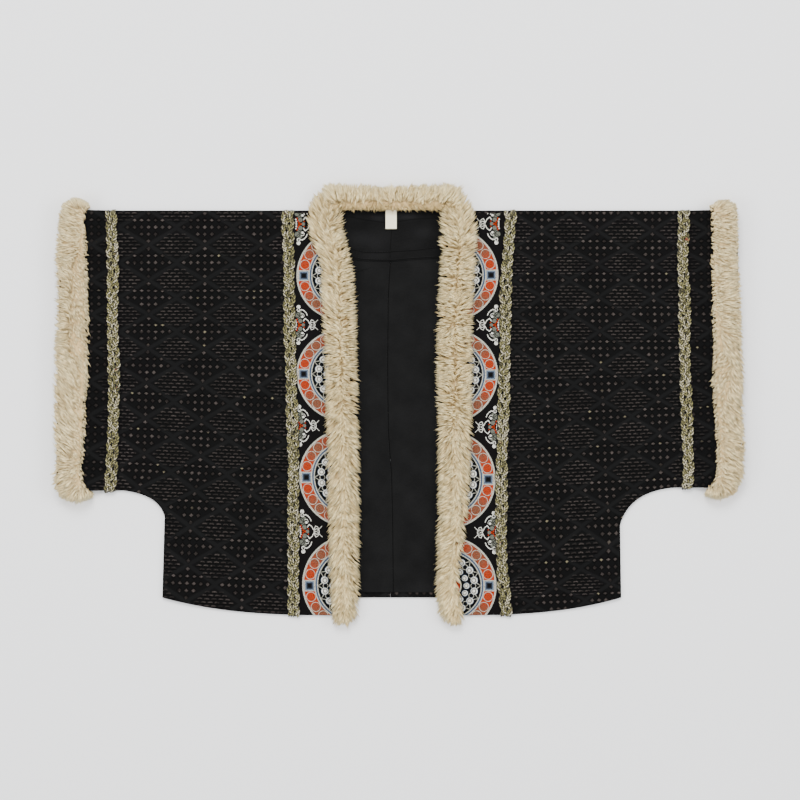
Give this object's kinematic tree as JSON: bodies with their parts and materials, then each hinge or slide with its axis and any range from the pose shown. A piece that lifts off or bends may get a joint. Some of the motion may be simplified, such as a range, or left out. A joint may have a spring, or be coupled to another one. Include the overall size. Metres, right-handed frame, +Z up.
{
  "type": "fur trimmed hanfu jacket laid flat",
  "caption": "Short open-front jacket with wide sleeves, laid flat, with fur edging, plaited braid and a roundel ribbon.",
  "frame": {"origin": "centre of the outline seen from above, on the plane that the jacket lies on", "axes": "+X from the left sleeve to the right one as seen from above, +Y from the hem to the neck, +Z up from the surface"},
  "size_m": [0.93, 0.5939, 0.0291],
  "materials": {
    "cloth": "black jacquard with a taupe diamond repeat",
    "lining": "plain black, matte",
    "fur": "cream imitation fur",
    "braid": "plaited olive gold metallic yarn",
    "ribbon": "woven ribbon with roundels",
    "label": "plain woven label"
  },
  "bodies": {
    "root": {"body_left": "cloth", "body_right": "cloth", "lining_left": "lining", "lining_right": "lining", "facing_neck": "lining", "label": "label", "ribbon_left": "ribbon", "ribbon_right": "ribbon", "braid_front_left": "braid", "braid_front_right": "braid", "braid_sleeve_left": "braid", "braid_sleeve_right": "braid", "fur_front_left": "fur", "fur_front_right": "fur", "fur_neck": "fur", "fur_cuff_left": "fur", "fur_cuff_right": "fur"}
  },
  "joints": []
}
